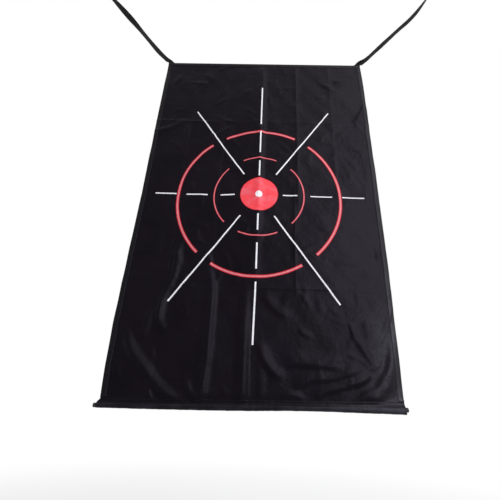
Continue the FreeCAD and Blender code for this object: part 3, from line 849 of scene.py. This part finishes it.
class Paint:
    """A new material, or another tree, and calls that add nodes to it."""

    def __init__(self, name="", tree=None):
        if tree is None:
            self.material = bpy.data.materials.new(name)
            self.material.use_nodes = True
            tree = self.material.node_tree
        self.tree = tree

    def put(self, socket, value):
        if isinstance(value, Value):
            self.tree.links.new(value.socket, socket)
        else:
            socket.default_value = value

    def node(self, kind, inputs=(), output=0, **settings):
        """One output of a new node."""
        made = self.tree.nodes.new("ShaderNode" + kind)
        for name, value in settings.items():
            setattr(made, name, value)
        for name, value in dict(inputs).items():
            self.put(made.inputs[name], value)
        return Value(self, made.outputs[output])

    def flat(self):
        """The place on the flat cloth, in metres, as two values and one vector."""
        place = self.node("UVMap", uv_map="Flat")
        return (*(self.node("SeparateXYZ", {0: place}, axis) for axis in "XY"), place)

    def object_place(self):
        return self.node("TexCoord", output="Object")

    def seen(self):
        """1 for what is seen, also in reflections, and 0 for what lights the object."""
        rays = ("Is Camera Ray", "Is Glossy Ray", "Is Transmission Ray")
        return largest(*(self.node("LightPath", output=ray) for ray in rays))

    def shade(self, **values):
        """Sets the surface's inputs and gives the material."""
        longer = {"color": "Base Color", "specular": "Specular IOR Level", "sheen": "Sheen Weight"}
        for name, value in values.items():
            name = longer.get(name, name.replace("_", " ").title())
            self.put(self.tree.nodes["Principled BSDF"].inputs[name], value)
        return self.material

    def surface(self, output, share, first, second):
        """A mix of two shaders as the tree's surface."""
        both = self.node("MixShader", {0: share, 1: first, 2: second})
        self.put(self.tree.nodes[output].inputs["Surface"], both)


class Value:
    """An output of a node, with arithmetic and textures that add nodes after it."""

    def __init__(self, paint, socket):
        self.paint = paint
        self.socket = socket

    def math(self, operation, *others):
        return self.paint.node("Math", enumerate((self, *others)), operation=operation)

    def __add__(self, other):
        return self.math("ADD", other)

    def __sub__(self, other):
        return self.math("SUBTRACT", other)

    def __mul__(self, other):
        return self.math("MULTIPLY", other)

    def __abs__(self):
        return self.math("ABSOLUTE")

    def wave(self, length):
        return (self * (TURN / length)).math("SINE")

    def spread(self, low, high, to_low=0.0, to_high=1.0):
        """The share of the way from low to high, eased and put on another range."""
        inputs = {0: self, 1: low, 2: high, 3: to_low, 4: to_high}
        return self.paint.node("MapRange", inputs, interpolation_type="SMOOTHSTEP")

    def inside(self, half_width, soft=0.0006):
        """1 where a distance is below half_width and 0 beyond it, with a soft edge."""
        return self.spread(half_width - soft, half_width + soft, 1.0, 0.0)

    def band(self, low, high):
        return abs(self - (low + high) / 2).inside((high - low) / 2)

    def mix(self, first, second):
        """The first where this share is 0, and the second where it is 1."""
        return self.paint.node("Mix", {0: self, 6: first, 7: second}, 2, data_type="RGBA")

    def scaled(self, x, y, z=1.0):
        return self.paint.node("Mapping", {"Vector": self, "Scale": (x, y, z)})

    def noise(self, *settings):
        """Noise of a scale, with a detail, a roughness and a distortion where these are given."""
        inputs = dict(zip(("Scale", "Detail", "Roughness", "Distortion"), settings))
        return self.paint.node("TexNoise", {"Vector": self, **inputs})

    def bump(self, strength, distance, normal=None):
        inputs = {"Height": self, "Strength": strength, "Distance": distance}
        if normal is not None:
            inputs["Normal"] = normal
        return self.paint.node("Bump", inputs)


def largest(*values, operation="MAXIMUM"):
    found = values[0]
    for value in values[1:]:
        found = found.math(operation, value)
    return found


def smallest(*values):
    return largest(*values, operation="MINIMUM")


def rgb(red, green, blue):
    return (red, green, blue, 1.0)


# The print

def ring(x, y, centre, squash, radius, half_width, low, high):
    """A ring and its core. Its gaps go from low to high degrees, given for its lower and upper half."""
    off_x = x - centre[0]
    off_y = (y - centre[1]) * squash
    away = (off_x * off_x + off_y * off_y).math("SQRT")
    from_upright = abs(off_x).math("ARCTAN2", abs(off_y)).math("DEGREES")
    upper = off_y.spread(-0.01, 0.01)
    after = from_upright - upper.spread(0.0, 1.0, *low)
    before = upper.spread(0.0, 1.0, *high) - from_upright
    kept = largest(*(edge.spread(-0.15, 0.15, 1.0, 0.0) for edge in (after, before)))
    core = abs(away - radius).inside(half_width * 0.5, 0.0018)
    return smallest(away.band(radius - half_width, radius + half_width), kept), core


def disc(x, y, centre, radius):
    off_x = x - centre[0]
    off_y = y - centre[1]
    return (off_x * off_x + off_y * off_y).math("SQRT").inside(radius)


def dashes(value, spans):
    return largest(*(value.band(low, high) for low, high in spans))


def target_print(x, y):
    """The printed target as shares: rings, their cores, disc, its core, and white lines."""
    outer, outer_core = ring(
        x, y, (-0.0002, -0.0064), 321.8 / 325.9, 0.3218, 0.0058, (30.8, 27.2), (43.0, 38.9))
    inner, inner_core = ring(
        x, y, (0.0005, 0.0038), 179 / 177.5, 0.179, 0.0029, (24.6, 22.4), (46.2, 45.2))
    spot = disc(x, y, (0.0015, 0.0062), 0.0754)
    spot_core = disc(x, y, (0.0015, 0.0062), 0.0737)
    dot = disc(x, y, (0.0005, 0.0035), 0.014)
    upright = dashes(y, (
        (0.0900, 0.1637), (0.2063, 0.3195), (0.3590, 0.5783),
        (-0.1520, -0.0836), (-0.3048, -0.2030), (-0.5630, -0.3520)))
    upright = smallest(upright, abs(x + y.spread(-0.58, -0.34, 0.0026, 0.0)).inside(0.0029))
    level = dashes(abs(x), ((0.096, 0.153), (0.205, 0.290), (0.330, 0.415)))
    level_away = abs(y - (x * 0.0045 + 0.0040)) * x.spread(-0.05, 0.05, 1.0, 1.2)
    level = smallest(level, level_away.inside(0.0026))
    lean = radians(55.7)
    side = abs(x - y.spread(-0.08, 0.08, -0.0027, 0.0031))
    rise = abs(y - y.spread(-0.08, 0.08, 0.0058, 0.0047))
    along = side * cos(lean) + rise * sin(lean)
    beside = side * sin(lean) - rise * cos(lean)
    diagonal = smallest(along.band(0.116, 0.523), abs(beside).inside(0.0028))
    lines = largest(upright, level, diagonal, dot)
    return largest(outer, inner), largest(outer_core, inner_core), spot, spot_core, lines


# Materials

CLOTH_DARK = rgb(0.0012, 0.0002, 0.0016)
CLOTH_LIGHT = rgb(0.0030, 0.0014, 0.0038)
RING_EDGE = rgb(0.62, 0.018, 0.024)
RING_CORE = rgb(0.67, 0.230, 0.262)
DISC_INK = rgb(0.93, 0.078, 0.096)
DISC_WORN = rgb(0.86, 0.130, 0.160)
WHITE_INK = rgb(0.90, 0.89, 0.91)
WHITE_INK_RIGHT = rgb(0.77, 0.76, 0.79)
SHEEN_TINT = rgb(0.80, 0.72, 0.95)
CLOTH_TINTS = {"sheen_tint": SHEEN_TINT, "specular_tint": rgb(0.90, 0.87, 1.0)}
WEAVE_PITCH = 0.0011


def weave(x, y):
    """Height of a plain weave: each thread goes over and under the ones that cross it."""
    warp = x.wave(WEAVE_PITCH)
    weft = y.wave(WEAVE_PITCH)
    return warp * weft * 0.5 + (abs(warp) + abs(weft)) * 0.3


def crease_wear(x, y):
    """A share that is high along the packing creases, where the cloth is rubbed."""
    away = [abs(x - place * MM) for place in SIXTHS]
    away += [abs(y - place * MM) for place, *_ in LEVEL_CREASES]
    return largest(*(distance.inside(0.0010, 0.0016) for distance in away))


def cloth_material(name, print_share):
    paint = Paint(name)
    x, y, place = paint.flat()
    height = weave(x, y)
    slubs = place.scaled(60, 900).noise(1.0, 3.0, 0.6)
    blotches = place.noise(7.0, 4.0, 0.55, 0.4)
    ground = blotches.spread(0.3, 0.7).mix(CLOTH_DARK, CLOTH_LIGHT)
    ground = (slubs * 0.14).mix(ground, rgb(0.008, 0.006, 0.010))
    rubbed = crease_wear(x, y) * place.noise(40.0, 3.0).spread(0.4, 0.65)
    ground = (rubbed * 0.4).mix(ground, rgb(0.014, 0.012, 0.018))
    rings, cores, spot, spot_core, white = target_print(x, y)
    share = place.noise(55.0, 4.0, 0.6).spread(0.2, 0.8, 0.90, 1.0) * print_share
    worn = place.scaled(1.0, 1.6).noise(17.0, 3.0, 0.6).spread(0.45, 0.62)
    printed = ground
    for where, ink in (
        (rings, cores.mix(RING_EDGE, RING_CORE)),
        (spot, spot_core.mix(RING_EDGE, worn.mix(DISC_INK, DISC_WORN))),
        # the white ink turns darker towards the right of the print
        (white, x.spread(0.03, 0.25).mix(WHITE_INK, WHITE_INK_RIGHT)),
    ):
        printed = where.mix(printed, share.mix(ground, ink))
    threads = height.spread(-0.3, 0.9, 0.90, 1.04)
    shown = paint.node("VectorMath", {0: printed, 1: threads}, operation="MULTIPLY")
    normal = place.noise(38.0, 3.0, 0.55, 0.6).bump(0.5, 0.0035)
    normal = place.scaled(1.0, 1.3).noise(95.0, 4.0, 0.6).bump(0.4, 0.0012, normal)
    # painted highlight: the specular level is raised towards the lower right corner
    corner = x.spread(0.32, 0.46) * y.spread(-0.64, -0.30, 1.0, 0.0)
    return paint.shade(
        color=shown, roughness=blotches.spread(0.25, 0.75, 0.36, 0.44),
        normal=height.bump(0.25, 0.0002, normal), specular=corner.spread(0.0, 1.0, 0.077, 0.165),
        sheen=0.004, sheen_roughness=0.40, **CLOTH_TINTS,
    )


def tape_material(name, first_shine, last_shine):
    """Folded tape with fine ribs across it, and its shine near its beginning and beyond; a raised shine is a
    painted highlight.
    """
    paint = Paint(name)
    x, y, place = paint.flat()
    ribs = x.wave(0.0012)
    height = ribs + y.wave(0.0007) * 0.35
    fuzz = place.noise(90.0, 4.0, 0.6)
    color = fuzz.spread(0.3, 0.75).mix(rgb(0.0012, 0.0008, 0.0015), rgb(0.0035, 0.0030, 0.0042))
    color = ribs.spread(-1.0, 0.2, 0.35, 0.0).mix(color, rgb(0.0015, 0.0014, 0.0018))
    return paint.shade(
        color=color, roughness=0.40, normal=height.bump(0.16, 0.0003),
        specular=x.spread(0.10, 0.55, first_shine, last_shine), sheen=0.006, sheen_roughness=0.4,
        **CLOTH_TINTS,
    )


def sleeve_material():
    """The cloth's weave with gathers, and painted shade on the seam allowance: there it takes the cloth's
    dark colour.
    """
    paint = Paint("sleeve_fabric")
    x, y, place = paint.flat()
    blotches = place.scaled(14, 60).noise(1.0, 4.0, 0.55)
    color = blotches.spread(0.35, 0.7).mix(rgb(0.0040, 0.0034, 0.0046), rgb(0.014, 0.012, 0.017))
    # painted shade: the flat seam allowance is darker than the round tube
    seam_shade = abs(y - sleeve_girth / 2).spread(0.0185, 0.0215)
    normal = place.scaled(26, 16).noise(1.0, 3.0, 0.5).bump(0.8, 0.0040)
    # painted highlight: the specular level rises towards the sleeve's right end
    return paint.shade(
        color=seam_shade.mix(color, CLOTH_DARK), roughness=blotches.spread(0.3, 0.7, 0.38, 0.48),
        normal=weave(x, y).bump(0.25, 0.0002, normal), specular=x.spread(0.60, 0.90, 0.095, 0.170),
        sheen=0.008, sheen_roughness=0.45, **CLOTH_TINTS,
    )


def webbing_material():
    """Woven webbing: slanted picks in rows that turn about at each rib."""
    paint = Paint("woven_webbing")
    x, y, place = paint.flat()
    rib = 0.0024
    picks = (x + y.math("PINGPONG", rib) * 0.8).wave(0.0017)
    height = picks + y.wave(rib) * 0.5
    color = picks.spread(-0.9, 0.9).mix(rgb(0.0018, 0.0017, 0.0020), rgb(0.0060, 0.0056, 0.0066))
    color = (place.noise(160.0, 4.0, 0.6) * 0.2).mix(color, rgb(0.014, 0.013, 0.016))
    return paint.shade(
        color=color, roughness=0.55, normal=height.bump(0.6, 0.0003), specular=0.065, sheen=0.006,
        sheen_roughness=0.4, sheen_tint=SHEEN_TINT,
    )


def thread_material():
    paint = Paint("sewing_thread")
    plies = paint.object_place().noise(1500.0, 2.0)
    color = plies.spread(0.3, 0.7).mix(rgb(0.010, 0.009, 0.011), rgb(0.026, 0.024, 0.029))
    return paint.shade(color=color, roughness=0.50, normal=plies.bump(0.4, 0.0002), specular=0.15)


def rod_material():
    """Drawn glass-fibre tube: fine streaks along it under a smooth skin, scuffed in patches."""
    paint = Paint("drawn_fibre_tube")
    place = paint.object_place()
    streaks = place.scaled(6, 900, 900).noise(1.0, 4.0, 0.6)
    scuffs = place.scaled(30, 220, 220).noise(1.0, 5.0, 0.7)
    color = streaks.spread(0.3, 0.7).mix(rgb(0.030, 0.030, 0.033), rgb(0.085, 0.085, 0.090))
    color = scuffs.spread(0.60, 0.74, 0.0, 0.5).mix(color, rgb(0.20, 0.20, 0.205))
    return paint.shade(
        color=color, roughness=scuffs.spread(0.45, 0.7, 0.34, 0.62), normal=streaks.bump(0.25, 0.0002),
        specular=0.5,
    )


def ferrule_material():
    """Drawn steel with lines round it, and a dull film in patches."""
    paint = Paint("drawn_steel")
    place = paint.object_place()
    lines = place.scaled(2500, 30, 30).noise(1.0, 3.0, 0.6)
    film = place.noise(110.0, 4.0, 0.6)
    return paint.shade(
        color=film.spread(0.35, 0.75).mix(rgb(0.60, 0.60, 0.62), rgb(0.42, 0.42, 0.43)),
        roughness=film.spread(0.3, 0.7, 0.22, 0.40) + lines * 0.08, metallic=1.0,
        normal=lines.bump(0.18, 0.0001), anisotropic=0.5,
    )


def cap_material():
    """Soft moulded cap: fine grain, a level parting line and pale dust."""
    paint = Paint("moulded_cap")
    place = paint.object_place()
    low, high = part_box("end_cap_left")
    from_line = abs(paint.node("SeparateXYZ", {0: place}, "Z") - (low.z + high.z) / 2)
    height = place.noise(1400.0, 3.0, 0.6) * 0.4 + from_line.inside(0.00015, 0.0001)
    dust = place.noise(260.0, 4.0, 0.6).spread(0.45, 0.8, 0.0, 0.6)
    return paint.shade(
        color=dust.mix(rgb(0.018, 0.018, 0.020), rgb(0.070, 0.068, 0.070)), roughness=0.72,
        normal=height.bump(0.35, 0.0002), specular=0.35,
    )


tape_paint = tape_material("ribbed_tape", 0.125, 0.125)
for pieces, material in (
    ([cloth], cloth_material("printed_polyester", 0.97)),
    ([cloth], cloth_material("printed_polyester_back", 0.07)),
    (tapes[:2], tape_paint),
    # the right tape gets a higher specular level near its lower end, a painted highlight
    (tapes[2:], tape_material("ribbed_tape_highlit", 0.29, 0.15)),
    ([sleeve], sleeve_material()),
    ([*straps.values(), *loops.values(), *tails, *bridges], webbing_material()),
    (stitches + tail_stitches + loop_stitches, thread_material()),
):
    for piece in pieces:
        piece.data.materials.append(material)
for nodes, material in (
    (("rod_section_left", "rod_section_middle", "rod_section_right"), rod_material()),
    (("ferrule_left", "ferrule_right"), ferrule_material()),
    (("end_cap_left", "end_cap_right"), cap_material()),
):
    for node in nodes:
        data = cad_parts[node].data
        data.materials.clear()
        data.materials.append(material)


# Floor, background and lamps

FLOOR_Z = -2.80
FLOOR_RADIUS = 9.0
FLOOR_RINGS = 40
FLOOR_AROUND = 96


def build_floor():
    """A wide disc whose rim melts into the white behind it."""
    edge = arc(FLOOR_RADIUS, 0, 360, FLOOR_AROUND)[:-1]
    rings = [edge * (step + 1) / FLOOR_RINGS for step in range(FLOOR_RINGS)]
    vertices = [(*place, FLOOR_Z) for place in np.vstack([(0, 0), *rings])]
    faces = [(0, 1 + step, 1 + (step + 1) % FLOOR_AROUND) for step in range(FLOOR_AROUND)]
    for face in tube_faces(FLOOR_RINGS, FLOOR_AROUND, closed_ends=False):
        first, *others = (1 + corner for corner in face)
        faces.append((first, *others[::-1]))
    floor = new_piece("floor", vertices, faces, None)
    paint = Paint("pale_floor")
    place = paint.object_place()
    color = place.noise(3.0, 3.0).mix(rgb(0.86, 0.86, 0.86), rgb(0.90, 0.90, 0.90))
    floor.data.materials.append(paint.shade(color=color, roughness=0.9, specular=0.1))
    away = paint.node("VectorMath", {0: place}, "Value", operation="LENGTH")
    glow = paint.node("Emission", {"Color": rgb(1, 1, 1)})
    lit = Value(paint, paint.tree.nodes["Principled BSDF"].outputs[0])
    paint.surface("Material Output", paint.seen() * away.spread(2.2, 5.0, 0.45, 1.0), lit, glow)


def build_world():
    """White where it is seen, and a soft grey where it lights the object."""
    world = bpy.data.worlds.new("studio")
    bpy.context.scene.world = world
    world.use_nodes = True
    paint = Paint(tree=world.node_tree)
    soft, white = (paint.node("Background", {"Color": color})
                   for color in (rgb(0.34, 0.34, 0.36), rgb(1, 1, 1)))
    paint.surface("World Output", paint.seen(), soft, white)


def build_lamp(name, place, towards, size, power, color=(1, 1, 1)):
    """A softbox. Its size is how wide and how tall it is."""
    data = bpy.data.lights.new(name, "AREA")
    data.shape = "RECTANGLE"
    data.size, data.size_y = size
    data.energy = power
    data.color = color
    lamp = bpy.data.objects.new(name, data)
    lamp.location = place
    aim = Vector(towards) - Vector(place)
    lamp.rotation_euler = aim.to_track_quat("-Z", "Y").to_euler()
    bpy.context.scene.collection.objects.link(lamp)


build_floor()
build_world()
build_lamp("key", (1.20, -1.65, -1.05), (0.05, 0, MIDDLE_Z), (0.5, 2.3), 45.5, (0.95, 0.96, 1.0))
build_lamp("upper", (1.00, -1.60, 0.90), (0.1, 0, MIDDLE_Z), (0.8, 0.8), 9, (0.93, 0.93, 1.0))
build_lamp("back", (0.6, 2.6, 0.2), (0, 0, MIDDLE_Z), (1.4, 1.4), 40)

bpy.context.scene.view_settings.view_transform = "Standard"
